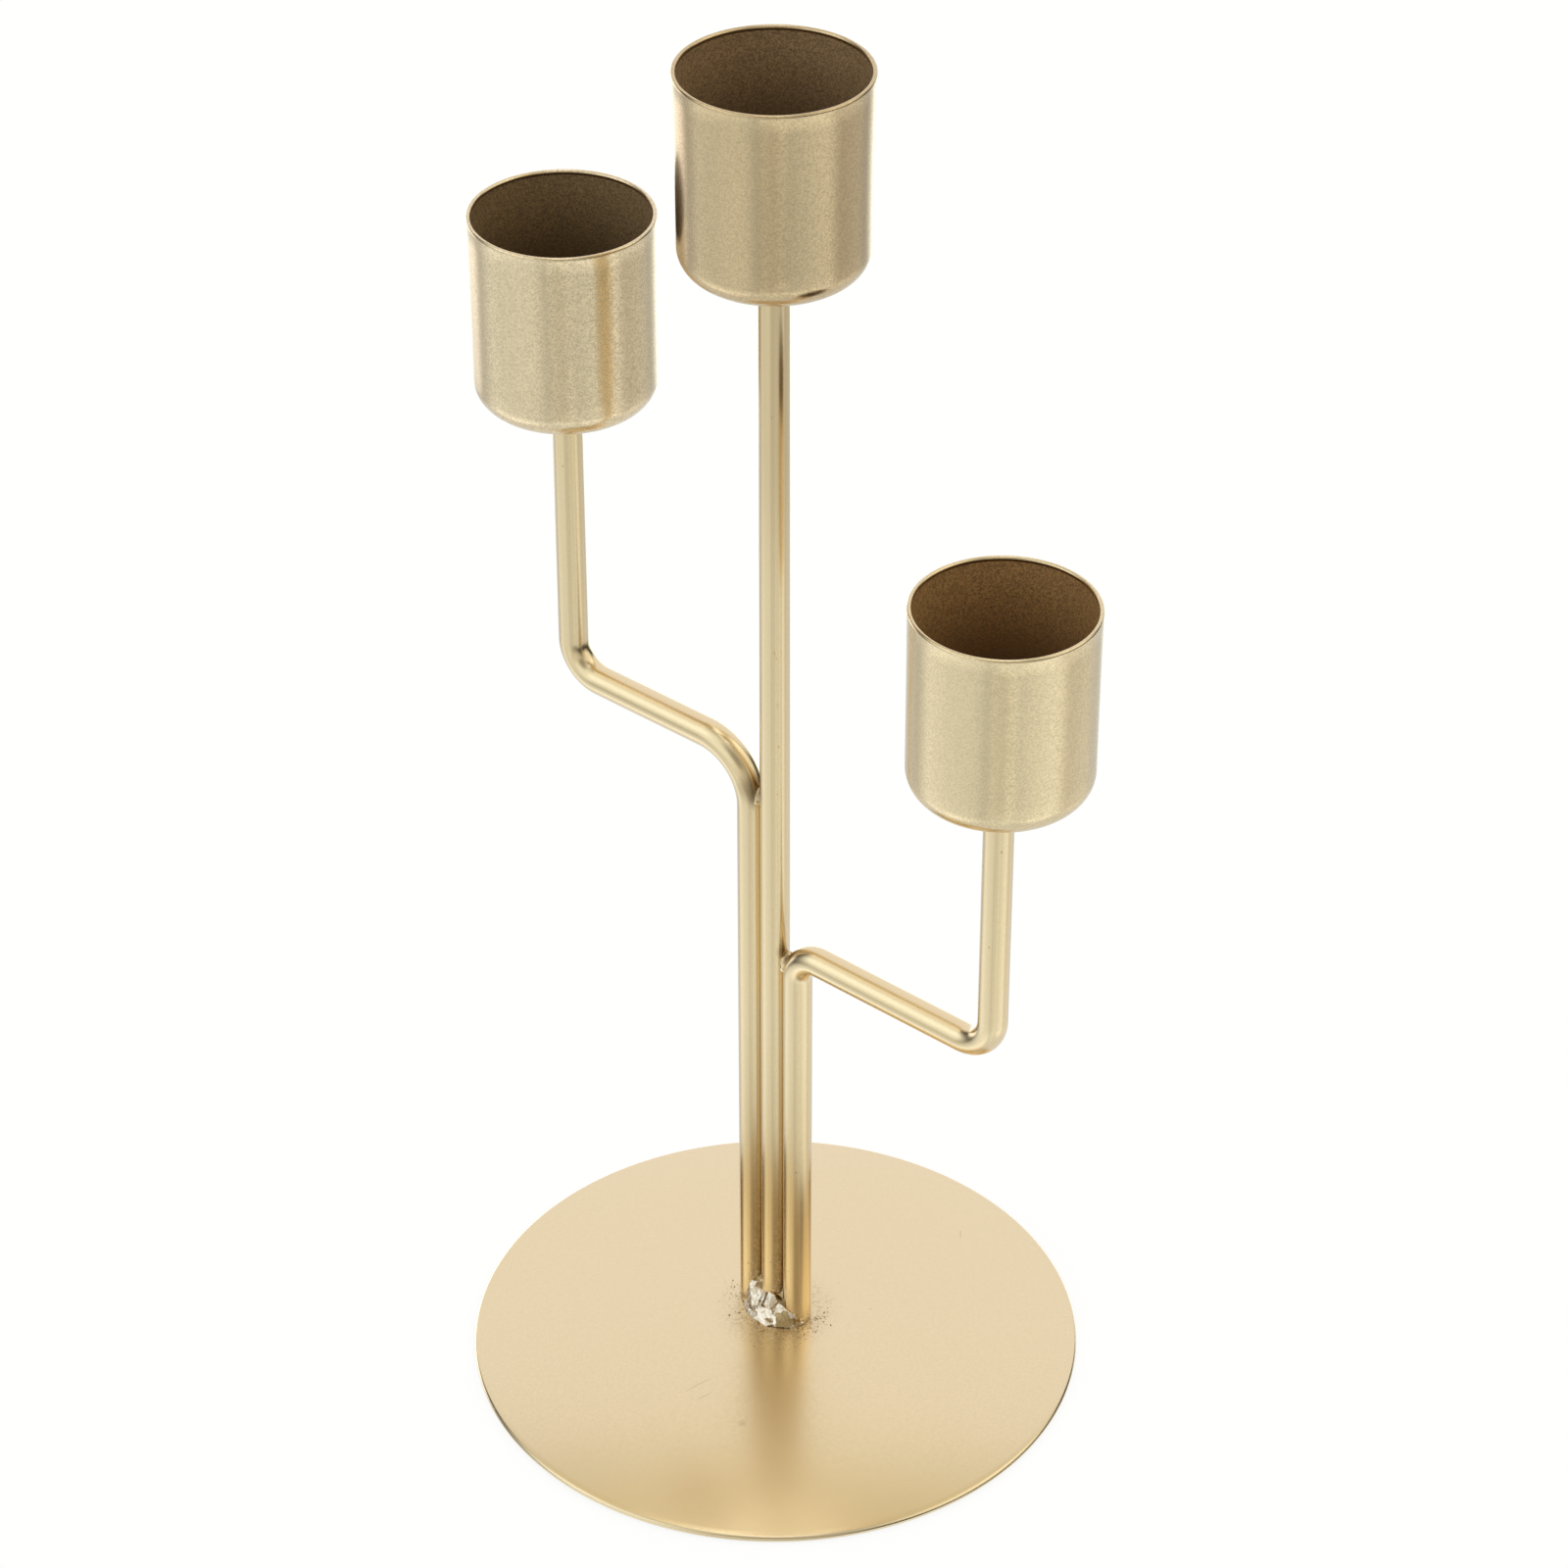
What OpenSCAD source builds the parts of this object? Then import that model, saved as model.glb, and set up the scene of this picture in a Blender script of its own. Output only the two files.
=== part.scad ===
// Three-light candelabra of painted steel. Three wire rods stand side by side, welded to a
// shallow crowned base. The middle one runs straight up, the outer two bend out level and up
// again, and each ends in a thin drawn cup for a standard taper candle.
// Millimetres, +Z up. The origin is on the table under the stem, and the rods stand along X.

/* [Wire rods] */
// Diameter of the wire
wire_d = 4; // [3:0.1:5]
// Height of the stem cup's rim above the table
stem_rim_z = 199; // [185:0.5:240]
// Height of the left cup's rim above the table
left_rim_z = 167.3; // [160:0.1:190]
// Height of the right cup's rim above the table
right_rim_z = 138.5; // [130:0.1:160]
// Distance from the stem's axis to the left cup's axis
left_reach = 35.7; // [32:0.1:60]
// Distance from the stem's axis to the right cup's axis
right_reach = 37.3; // [32:0.1:60]
// Height of the left arm's level run, at the wire's centre
left_run_z = 98.3; // [85:0.1:110]
// Height of the right arm's level run, at the wire's centre
right_run_z = 69.8; // [55:0.1:80]
// Centre-line radius of the left arm's bend beside the stem
left_first_bend = 8; // [3.5:0.5:10]
// Centre-line radius of the left arm's bend under its cup
left_second_bend = 5; // [3.5:0.5:10]
// Centre-line radius of the right arm's bend beside the stem
right_first_bend = 4; // [3.5:0.5:10]
// Centre-line radius of the right arm's bend under its cup
right_second_bend = 5; // [3.5:0.5:10]

/* [Candle cups] */
// Diameter of the candle that the cups take
candle_d = 22; // [19:0.5:25]
// Gap all round between the candle and the cup's wall
candle_gap = 0.5; // [0.2:0.05:1]
// Thickness of the cups' sheet
cup_wall = 0.5; // [0.4:0.05:1]
// Height of a cup from its floor's underside to its rim
cup_h = 27; // [20:0.5:32]
// Outer radius of the corner between a cup's wall and its floor
cup_corner = 3.5; // [2:0.1:6]

/* [Base] */
// Diameter of the base
base_d = 85.5; // [75:0.5:120]
// Thickness of the base's sheet
base_sheet = 1; // [0.8:0.1:2]
// Rise of the crown from the rim to the middle
base_crown = 5; // [2:0.1:9]
// Width of the flat ring that the rim stands on
rest_land = 0.5; // [0.3:0.05:0.7]

/* [Welds] */
// Number of overlapping ripples in the weld at the base
ripple_count = 6; // [3:1:9]
// Radius of the first ripple, on the left arm's foot
first_ripple_r = 2.1; // [1.6:0.1:2.6]
// Radius of the last ripple, on the right arm's foot
last_ripple_r = 1.5; // [1.2:0.1:2]
// Height of the first ripple's centre above the base
first_ripple_lift = 1.3; // [0:0.1:1.5]
// Height of the last ripple's centre above the base, below it where negative
last_ripple_lift = -0.4; // [-0.8:0.1:0]
// Radius of the tack welds between the rods
tack_r = 1.3; // [1:0.1:1.6]
// Width and height of the weld rings under the cups
ring_leg = 0.5; // [0.3:0.05:0.9]

/* [Hidden] */

// Colours of the satin paint, on the base, on the rods and cups, and over the welds
base_gold = "#E0CCA6";
rod_gold = "#D8C491";
cup_gold = "#CFBD95";
weld_gold = "#D6CDB4";

// Smoothness of wires, cups and of the base's large arcs
wire_fn = 48;
cup_fn = 96;
crown_fn = 720;

wire_r = wire_d / 2;
// The rods touch each other in a row
rod_pitch = wire_d;

bore_r = candle_d / 2 + candle_gap;
cup_r = bore_r + cup_wall;
stem_floor_z = stem_rim_z - cup_h;
left_floor_z = left_rim_z - cup_h;
right_floor_z = right_rim_z - cup_h;

// The base's rim is a full round edge, cut flat where it stands on the table
edge_r = base_sheet / 2;
rim_mid_r = base_d / 2 - edge_r;
rim_mid_z = sqrt(pow(edge_r, 2) - pow(rest_land / 2, 2));
// The crown is part of a sphere, given here at the middle of the sheet
crown_mid_r = (pow(rim_mid_r, 2) + pow(base_crown, 2)) / (2 * base_crown);
crown_angle = asin(rim_mid_r / crown_mid_r);
crown_centre_z = rim_mid_z + base_crown - crown_mid_r;
crown_outer_r = crown_mid_r + edge_r;
base_top_z = crown_centre_z + crown_outer_r;

// Centre lines of the two arms as corners [x, z], from the foot to the cup
left_corners = [
    [-rod_pitch, 0], [-rod_pitch, left_run_z], [-left_reach, left_run_z], [-left_reach, left_floor_z]
];
right_corners = [
    [rod_pitch, 0], [rod_pitch, right_run_z], [right_reach, right_run_z], [right_reach, right_floor_z]
];
left_bends = [left_first_bend, left_second_bend];
right_bends = [right_first_bend, right_second_bend];

// A point on the way from a to b
function blend(a, b, t) = a + (b - a) * t;
// Unit vector from corner a to corner b
function heading(a, b) = (b - a) / norm(b - a);
// Turn from heading u to heading v in degrees, to the left as positive
function turn(u, v) = atan2(u[0] * v[1] - u[1] * v[0], u[0] * v[0] + u[1] * v[1]);
// Length of straight that a bend takes from each side of its corner
function setback(c, r, i) =
    i == 0 || i == len(c) - 1 ? 0
    : r[i - 1] * tan(abs(turn(heading(c[i - 1], c[i]), heading(c[i], c[i + 1]))) / 2);

// Straight length of wire between two points [x, z]
module straight_wire(a, b) {
    d = b - a;
    translate([a[0], 0, a[1]])
        rotate([0, atan2(d[0], d[1]), 0])
            cylinder(r = wire_r, h = norm(d), $fn = wire_fn);
}

// Quarter or other part of a ring that turns the wire by angle a from start point p and heading u
module wire_bend(p, u, r, a) {
    side = a > 0 ? 1 : -1;
    centre = p + side * r * [-u[1], u[0]];
    from = atan2(p[1] - centre[1], p[0] - centre[0]);
    translate([centre[0], 0, centre[1]])
        rotate([90, 0, 0])
            rotate(side > 0 ? from : from + a)
                rotate_extrude(angle = abs(a), $fn = cup_fn)
                    translate([r, 0])
                        circle(r = wire_r, $fn = wire_fn);
}

// Wire bent along corners c, with bend radius r[i - 1] at each inner corner i
module bent_wire(c, r) {
    last = len(c) - 1;
    for (i = [0:last - 1]) {
        u = heading(c[i], c[i + 1]);
        straight_wire(c[i] + u * setback(c, r, i), c[i + 1] - u * setback(c, r, i + 1));
    }
    for (i = [1:last - 1]) {
        u = heading(c[i - 1], c[i]);
        v = heading(c[i], c[i + 1]);
        wire_bend(c[i] - u * setback(c, r, i), u, r[i - 1], turn(u, v));
    }
}

// Whole wires, before their feet are cut to the base
module stem_wire() straight_wire([0, 0], [0, stem_floor_z]);
module left_wire() bent_wire(left_corners, left_bends);
module right_wire() bent_wire(right_corners, right_bends);

// Everything under the top of the base, which the rods and the weld are cut to
module under_crown() {
    intersection() {
        translate([0, 0, crown_centre_z])
            sphere(r = crown_outer_r, $fn = crown_fn / 2);
        cylinder(r = base_d / 4, h = 2 * base_top_z, $fn = cup_fn);
    }
}

// Section of the base from its axis to its rim
module base_section() {
    reach = 2 * crown_outer_r;
    intersection() {
        union() {
            translate([0, crown_centre_z])
                intersection() {
                    difference() {
                        circle(r = crown_outer_r, $fn = crown_fn);
                        circle(r = crown_outer_r - base_sheet, $fn = crown_fn);
                    }
                    polygon([[0, 0], [0, reach], [reach * sin(crown_angle), reach * cos(crown_angle)]]);
                }
            translate([rim_mid_r, rim_mid_z])
                circle(r = edge_r, $fn = wire_fn);
        }
        square([base_d, base_top_z + base_sheet]);
    }
}

module base_disc() {
    color(base_gold)
        rotate_extrude($fn = 2 * cup_fn)
            base_section();
}

module stem_rod() {
    color(rod_gold)
        difference() {
            stem_wire();
            under_crown();
        }
}

module left_arm_rod() {
    color(rod_gold)
        difference() {
            left_wire();
            under_crown();
        }
}

module right_arm_rod() {
    color(rod_gold)
        difference() {
            right_wire();
            under_crown();
        }
}

// Half section of a pot with a flat floor, wall radius r, height h and corner radius c
module pot_section(r, h, c) {
    square([r - c, h]);
    translate([0, c])
        square([r, h - c]);
    translate([r - c, c])
        circle(r = c, $fn = wire_fn);
}

// Drawn cup with its floor's underside at z = 0, and a full round rim
module cup() {
    lip_r = cup_wall / 2;
    color(cup_gold)
        rotate_extrude($fn = cup_fn)
            intersection() {
                union() {
                    difference() {
                        pot_section(cup_r, cup_h - lip_r, cup_corner);
                        translate([0, cup_wall])
                            pot_section(bore_r, cup_h, cup_corner - cup_wall);
                    }
                    translate([bore_r + lip_r, cup_h - lip_r])
                        circle(r = lip_r, $fn = wire_fn);
                }
                square([cup_r, cup_h]);
            }
}

module stem_cup() translate([0, 0, stem_floor_z]) cup();
module left_cup() translate([-left_reach, 0, left_floor_z]) cup();
module right_cup() translate([right_reach, 0, right_floor_z]) cup();

// Weld bead in front of the rods: it climbs the left foot and thins out towards the right one
module base_weld() {
    start = [-0.95 * rod_pitch, -wire_r, base_top_z + first_ripple_lift];
    end = [1.05 * rod_pitch, -wire_r, base_top_z + last_ripple_lift];
    belly = 0.3 * wire_d;
    color(weld_gold)
        difference() {
            for (i = [0:ripple_count - 1]) {
                t = i / (ripple_count - 1);
                translate(blend(start, end, t) - [0, belly * sin(180 * t), 0])
                    sphere(r = blend(first_ripple_r, last_ripple_r, t), $fn = wire_fn);
            }
            under_crown();
            stem_wire();
            left_wire();
            right_wire();
        }
}

// Tack weld in the crotch where an arm's first bend of radius r leaves the stem, on side s
module rod_tack(s, run_z, r) {
    // The bead sits where the wires have parted by a tenth of their diameter
    parting = 0.1 * wire_d;
    rise = sqrt(pow(r, 2) - pow(r - parting, 2));
    color(weld_gold)
        difference() {
            translate([s * (wire_r + parting / 2), 0, run_z - r + rise])
                sphere(r = tack_r, $fn = wire_fn);
            stem_wire();
            if (s < 0)
                left_wire();
            else
                right_wire();
        }
}

module left_rod_weld() rod_tack(-1, left_run_z, left_first_bend);
module right_rod_weld() rod_tack(1, right_run_z, right_first_bend);

// Concave ring of weld in the corner between a rod's end and the floor of its cup
module cup_ring() {
    color(weld_gold)
        rotate_extrude($fn = cup_fn)
            translate([wire_r, -ring_leg])
                difference() {
                    square(ring_leg);
                    translate([ring_leg, 0])
                        circle(r = ring_leg, $fn = wire_fn);
                }
}

module stem_cup_weld() translate([0, 0, stem_floor_z]) cup_ring();
module left_cup_weld() translate([-left_reach, 0, left_floor_z]) cup_ring();
module right_cup_weld() translate([right_reach, 0, right_floor_z]) cup_ring();

base_disc();
stem_rod();
left_arm_rod();
right_arm_rod();
stem_cup();
left_cup();
right_cup();
base_weld();
left_rod_weld();
right_rod_weld();
stem_cup_weld();
left_cup_weld();
right_cup_weld();
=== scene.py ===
"""A three-light candelabra: bent steel wires, drawn cups and a pressed base, painted pale gold."""

import math
import random

import bmesh
import bpy
from mathutils import Matrix, Vector, noise


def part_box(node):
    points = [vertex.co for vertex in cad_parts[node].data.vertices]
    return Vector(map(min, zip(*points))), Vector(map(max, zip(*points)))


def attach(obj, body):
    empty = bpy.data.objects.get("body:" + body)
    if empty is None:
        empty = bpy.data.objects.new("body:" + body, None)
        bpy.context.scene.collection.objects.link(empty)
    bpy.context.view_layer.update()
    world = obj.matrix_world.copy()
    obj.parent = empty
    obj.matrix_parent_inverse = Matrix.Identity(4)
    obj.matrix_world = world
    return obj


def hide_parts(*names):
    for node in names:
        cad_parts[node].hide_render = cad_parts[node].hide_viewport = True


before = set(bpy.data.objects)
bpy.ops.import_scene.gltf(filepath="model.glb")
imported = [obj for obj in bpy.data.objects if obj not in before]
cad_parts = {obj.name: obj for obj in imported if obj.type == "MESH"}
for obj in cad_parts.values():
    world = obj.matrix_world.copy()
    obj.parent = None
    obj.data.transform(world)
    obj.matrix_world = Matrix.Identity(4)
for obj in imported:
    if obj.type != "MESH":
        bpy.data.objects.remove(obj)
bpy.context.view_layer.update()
NODE_BOXES = {node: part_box(node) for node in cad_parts}

bl_info = {
    "name": "Painted Wire Candelabra",
    "version": (1, 0, 0),
    "blender": (4, 5, 0),
    "location": "View3D > Sidebar > Candelabra",
    "description": "Builds the pieces of a three-light wire candelabra, its paint and its studio",
    "category": "Add Mesh",
}

MM = 0.001
UP = Vector((0, 0, 1))
OUT_OF_ROW = Vector((0, 1, 0))


def cad_top(node):
    """Height of the top of a CAD node."""
    return NODE_BOXES[node][1].z


def cad_middle_x(node):
    """Place of the middle of a CAD node along the row of rods."""
    low, high = NODE_BOXES[node]
    return (low.x + high.x) / 2


def linear(hex_colour):
    """Scene-linear RGB of an sRGB colour written as #RRGGBB."""
    parts = [int(hex_colour[i : i + 2], 16) / 255 for i in (1, 3, 5)]
    return tuple(c / 12.92 if c <= 0.04045 else ((c + 0.055) / 1.055) ** 2.4 for c in parts)


# ---------------------------------------------------------------- sizes and colours


def length(name, description, millimetres):
    """A length property, whose default is given in millimetres."""
    return bpy.props.FloatProperty(
        name=name, description=description, default=millimetres * MM, unit="LENGTH", precision=5
    )


def colour(name, description, hex_colour):
    """A colour property, whose default is given as sRGB."""
    rgb = linear(hex_colour)
    return bpy.props.FloatVectorProperty(
        name=name, description=description, default=rgb, subtype="COLOR", min=0, max=1
    )


class CandelabraWires(bpy.types.PropertyGroup):
    diameter: length("Wire Diameter", "Diameter of the steel wire", 4)
    left_run: length("Left Run Height", "Height of the left arm's level run", 98.3)
    right_run: length("Right Run Height", "Height of the right arm's level run", 69.8)
    left_first_bend: length("Left First Bend", "Bend radius beside the stem on the left", 8)
    left_second_bend: length("Left Second Bend", "Bend radius under the left cup", 5)
    right_first_bend: length("Right First Bend", "Bend radius beside the stem on the right", 4)
    right_second_bend: length("Right Second Bend", "Bend radius under the right cup", 5)


class CandelabraCups(bpy.types.PropertyGroup):
    outer_radius: length("Outer Radius", "Radius of a cup's outer wall", 12)
    wall: length("Wall", "Thickness of the cups' sheet", 0.5)
    height: length("Height", "Height of a cup from its floor to its rim", 27)
    corner: length("Corner Radius", "Outer radius between wall and floor", 3.5)


class CandelabraBase(bpy.types.PropertyGroup):
    diameter: length("Diameter", "Diameter of the base", 85.5)
    sheet: length("Sheet", "Thickness of the base's sheet", 1)
    crown: length("Crown", "Rise of the base from its rim to its middle", 5)
    land: length("Rest Land", "Width of the flat ring that the rim stands on", 0.5)


class CandelabraFinishes(bpy.types.PropertyGroup):
    base_paint: colour("Base Paint", "Paint on the base", "#E8D4B0")
    rod_paint: colour("Rod Paint", "Paint on the wires", "#E8D2AA")
    # The three cups share one paint: the top cup's darker copy is painted shade, and the side cups'
    # lighter copies are painted light
    stem_cup_paint: colour("Stem Cup Paint", "Paint outside the top cup", "#CFB893")
    left_cup_paint: colour("Left Cup Paint", "Paint outside the left cup", "#E2CEAC")
    right_cup_paint: colour("Right Cup Paint", "Paint outside the right cup", "#E1CDA8")
    # The insides are coloured a darker brown than the outsides; their darkening towards each cup's
    # floor is painted shade
    stem_cup_inside: colour("Stem Cup Inside", "Thin overspray inside the top cup", "#A28562")
    left_cup_inside: colour("Left Cup Inside", "Thin overspray inside the left cup", "#957B59")
    right_cup_inside: colour("Right Cup Inside", "Thin overspray inside the right cup", "#B08959")
    weld_metal: colour("Weld", "Weld metal under a thin coat of paint", "#F4E8D8")
    # Heat browning on the spatter, and painted shade on the weld's shaded facets
    burnt_metal: colour("Burnt Weld", "Spatter and weld metal browned by the heat", "#B39A70")


GROUPS = {
    "candelabra_wires": CandelabraWires,
    "candelabra_cups": CandelabraCups,
    "candelabra_base": CandelabraBase,
    "candelabra_finishes": CandelabraFinishes,
}


# ---------------------------------------------------------------- mesh tools


def pen_line(bm, vert, to):
    """Draws a straight line of a section from a vertex to a place."""
    new = bmesh.ops.extrude_vert_indiv(bm, verts=[vert])["verts"][0]
    new.co = to
    return new


def pen_arc(bm, vert, centre, angle, steps):
    """Draws an arc of a section from a vertex, clockwise as seen from the front."""
    made = bmesh.ops.spin(
        bm, geom=[vert], cent=centre, axis=OUT_OF_ROW, angle=angle, steps=steps
    )
    return next(g for g in made["geom_last"] if isinstance(g, bmesh.types.BMVert))


def lathe(bm, steps):
    """Turns all that is drawn in the bmesh once round the Z axis into a closed skin."""
    bmesh.ops.spin(
        bm,
        geom=bm.verts[:] + bm.edges[:],
        cent=(0, 0, 0),
        axis=UP,
        angle=math.tau,
        steps=steps,
        use_merge=True,
    )
    bmesh.ops.remove_doubles(bm, verts=bm.verts[:], dist=0.001 * MM)
    bmesh.ops.recalc_face_normals(bm, faces=bm.faces[:])


def only_verts(geometry):
    return [g for g in geometry if isinstance(g, bmesh.types.BMVert)]


def piece(name, bm, materials, nodes):
    """Makes a smooth piece that rides on the part's one body and stands for CAD nodes."""
    mesh = bpy.data.meshes.new(name)
    for face in bm.faces:
        face.smooth = True
    bm.to_mesh(mesh)
    bm.free()
    for material in materials:
        mesh.materials.append(material)
    obj = bpy.data.objects.new(name, mesh)
    bpy.context.scene.collection.objects.link(obj)
    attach(obj, "root")
    if nodes:
        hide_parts(*nodes)
    return obj


# ---------------------------------------------------------------- finishes


SOFT_STEP = {"interpolation_type": "SMOOTHSTEP"}
COLOURS = {"data_type": "RGBA"}
TIMES = {"operation": "MULTIPLY"}
DISTANCE = {"operation": "DISTANCE"}


def add_node(tree, kind, settings, inputs, output=0):
    """Adds a shader node with its settings, sets or links its inputs by name or number, and gives
    one of its outputs."""
    node = tree.nodes.new("ShaderNode" + kind)
    for name, value in settings.items():
        setattr(node, name, value)
    for name, value in inputs.items() if isinstance(inputs, dict) else enumerate(inputs):
        if isinstance(value, bpy.types.NodeSocket):
            tree.links.new(value, node.inputs[name])
        else:
            node.inputs[name].default_value = value
    return node.outputs[output] if node.outputs else None


def new_material(name):
    """An empty material and its node tree."""
    material = bpy.data.materials.new(name)
    material.use_nodes = True
    material.node_tree.nodes.clear()
    return material, material.node_tree


def toned(rgb, *by):
    """A paint's colour made lighter or darker, all parts alike or each by its own factor."""
    return (*[min(1, c * f) for c, f in zip(rgb, by if len(by) == 3 else by * 3)], 1)


# How the one paint looks on each kind of piece: size of the flake's clumps in millimetres, how much
# they lighten and darken it, roughness, how much the clumps change that, height of the grain in mm,
# share of metal flake, and weight and roughness of the clear lacquer over it
PAINT_LOOKS = {
    "base_paint": (0.20, 0.015, 0.24, 0.02, 0.0002, 1.0, 0.0, 0.2),
    "rod_paint": (0.14, 0.02, 0.24, 0.02, 0.0001, 1.0, 0.5, 0.10),
    "stem_cup_paint": (0.16, 0.12, 0.22, 0.04, 0.0007, 1.0, 0.0, 0.15),
    "left_cup_paint": (0.17, 0.15, 0.23, 0.05, 0.0009, 1.0, 0.0, 0.15),
    "right_cup_paint": (0.16, 0.10, 0.23, 0.04, 0.0006, 1.0, 0.0, 0.15),
    "cup_inside": (0.16, 0.40, 0.50, 0.05, 0.0022, 0.15, 0.0, 0.2),
}


def satin_gold_paint(key, rgb):
    """Satin metallic spray paint: aluminium flake in a gold-tinted lacquer.
    The flake gives a soft metal gloss, and its clumps a fine light and dark grain."""
    material, tree = new_material("satin gold spray paint, " + key.replace("_", " "))
    look = PAINT_LOOKS["cup_inside" if key.endswith("_inside") else key]
    clump, contrast, roughness, rough_change, height, metal, lacquer, lacquer_roughness = look
    place = add_node(tree, "TexCoord", {}, {}, "Object")
    cells = add_node(tree, "TexVoronoi", {}, {"Vector": place, "Scale": 1 / (clump * MM)}, "Color")
    wide = 1 / (2.2 * clump * MM)
    mottle = add_node(tree, "TexNoise", {}, {"Vector": place, "Scale": wide, "Roughness": 0.6})
    flakes = add_node(tree, "Math", {"operation": "ADD"}, [cells, mottle])
    few, many = 0.6, 1.4
    lift = add_node(tree, "MapRange", SOFT_STEP, [flakes, few, many])
    dark, light = toned(rgb, 1 - contrast), toned(rgb, 1 + 0.8 * contrast)
    coat = add_node(tree, "Mix", COLOURS, {0: lift, 6: dark, 7: light}, 2)
    rougher, smoother = roughness + rough_change, roughness - rough_change
    rough = add_node(tree, "MapRange", SOFT_STEP, [flakes, few, many, rougher, smoother])
    relief = mottle
    if key == "base_paint":
        coat, rough, relief = worn_round_the_weld(tree, place, coat, rough, relief, rgb)
    if key == "rod_paint":
        coat = light_and_shade_on_the_wires(tree, place, coat, rgb)
    if key.endswith("_inside"):
        # Painted shade: the inside darkens towards the cup's floor
        rim = cad_top(key.replace("_inside", ""))
        high = add_node(tree, "SeparateXYZ", {}, [place], "Z")
        deep = add_node(tree, "MapRange", SOFT_STEP, [high, rim - 5 * MM, rim - 17 * MM, 0.0, 0.8])
        coat = add_node(tree, "Mix", COLOURS, {0: deep, 6: coat, 7: toned(rgb, 0.5)}, 2)
    bump = add_node(tree, "Bump", {}, {"Height": relief, "Strength": 1.0, "Distance": height * MM})
    surface = add_node(
        tree,
        "BsdfPrincipled",
        {},
        {
            "Base Color": coat,
            "Metallic": metal,
            "Roughness": rough,
            "Normal": bump,
            "Coat Weight": lacquer,
            "Coat Roughness": lacquer_roughness,
        },
    )
    add_node(tree, "OutputMaterial", {}, {"Surface": surface})
    return material


# Painted shade in the crotches where the arms leave the stem: its middle, the distance from there
# where it is full and the distance where it ends, in millimetres
CROTCH_SHADE = (((-2.7, -1.1, 94.0), 0.5, 3.0), ((2.9, -0.9, 69.2), 0.7, 1.9))


def light_and_shade_on_the_wires(tree, place, coat, rgb):
    """Light and shade painted into the wires' colour: painted shade darkens the stem's upper half,
    greys the grooves between the wires, deepens the tone towards the base and darkens the grooves
    at the feet and the crotches where the arms leave the stem; painted light lifts the wires just
    over the base."""
    wire_r = bpy.context.scene.candelabra_wires.diameter / 2
    parts = add_node(tree, "SeparateXYZ", {}, [place]).node.outputs
    beside = add_node(tree, "Math", {"operation": "ABSOLUTE"}, [parts["X"]])
    across = add_node(tree, "CombineXYZ", {}, [beside, parts["Y"]])
    out = add_node(tree, "VectorMath", DISTANCE, [across, (wire_r, 0, 0)], "Value")
    patchy = add_node(tree, "TexNoise", {}, {"Vector": place, "Scale": 1 / (0.5 * MM)})
    ragged = add_node(tree, "MapRange", SOFT_STEP, [patchy, 0.3, 0.7, -0.25 * MM, 0.25 * MM])
    out = add_node(tree, "Math", {"operation": "ADD"}, [out, ragged])
    # Mask of the grooves between the wires, where painted shade goes
    deep = add_node(tree, "MapRange", SOFT_STEP, [out, 2.1 * MM, 0.5 * MM])

    # Painted shade: the grooves are greyed on the wires' lower part
    lower = add_node(tree, "MapRange", SOFT_STEP, [parts["Z"], 64 * MM, 56 * MM, 0.0, 0.8])
    groove_grey_shade = add_node(tree, "Math", TIMES, [deep, lower])
    # Painted shade and reflection: the wires darken towards the base, which they mirror
    shade_near_base = add_node(tree, "MapRange", SOFT_STEP, [parts["Z"], 62 * MM, 34 * MM, 0.0, 0.7])
    # Painted light: the wires lighten again just over the base, which they mirror
    thin = add_node(tree, "MapRange", SOFT_STEP, [parts["Z"], 28 * MM, 10 * MM])
    # Painted shade: the stem's upper half is darker
    upper = add_node(tree, "MapRange", SOFT_STEP, [parts["Z"], 124 * MM, 148 * MM])
    on_stem = add_node(tree, "MapRange", SOFT_STEP, [beside, 3 * MM, 2.5 * MM])
    stem_top_shade = add_node(tree, "Math", TIMES, [upper, on_stem])

    # Painted shade: dark in the grooves at the wires' feet and in the crotches where the arms leave
    # the stem
    foot = add_node(tree, "MapRange", SOFT_STEP, [parts["Z"], 38 * MM, 12 * MM])
    groove_and_crotch_shade = add_node(tree, "Math", TIMES, [deep, foot])
    for crotch, full, none in CROTCH_SHADE:
        away = add_node(tree, "VectorMath", DISTANCE, [place, Vector(crotch) * MM], "Value")
        stain = add_node(tree, "MapRange", SOFT_STEP, [away, none * MM, full * MM])
        groove_and_crotch_shade = add_node(tree, "Math", {"operation": "MAXIMUM"}, [groove_and_crotch_shade, stain])
    groove_and_crotch_shade = add_node(tree, "Math", TIMES, [groove_and_crotch_shade, 0.9])

    for share, tint in (
        (groove_grey_shade, (0.92, 0.98, 1.12)),
        (shade_near_base, (0.86, 0.83, 0.78)),
        (thin, (1.14, 1.14, 1.16)),
        (stem_top_shade, (0.89, 0.87, 0.84)),
        (groove_and_crotch_shade, (0.46, 0.41, 0.35)),
    ):
        coat = add_node(tree, "Mix", COLOURS, {0: share, 6: coat, 7: toned(rgb, *tint)}, 2)
    return coat


# Middle of the weld's halo on the base and of a dull spot, in millimetres
HALO_MIDDLE = (1.2, -0.8, 6)
DULL_SPOT = (12, -21, 5)
# Short scratches in the base's paint: middle in millimetres, turn in degrees and half length in mm
BASE_SCRATCHES = (
    ((2.5, -19.3, 5), 74, 1.9), ((4.6, -20.4, 5), 70, 1.1), ((8.3, 31.5, 4), 128, 1.0),
)


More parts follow.
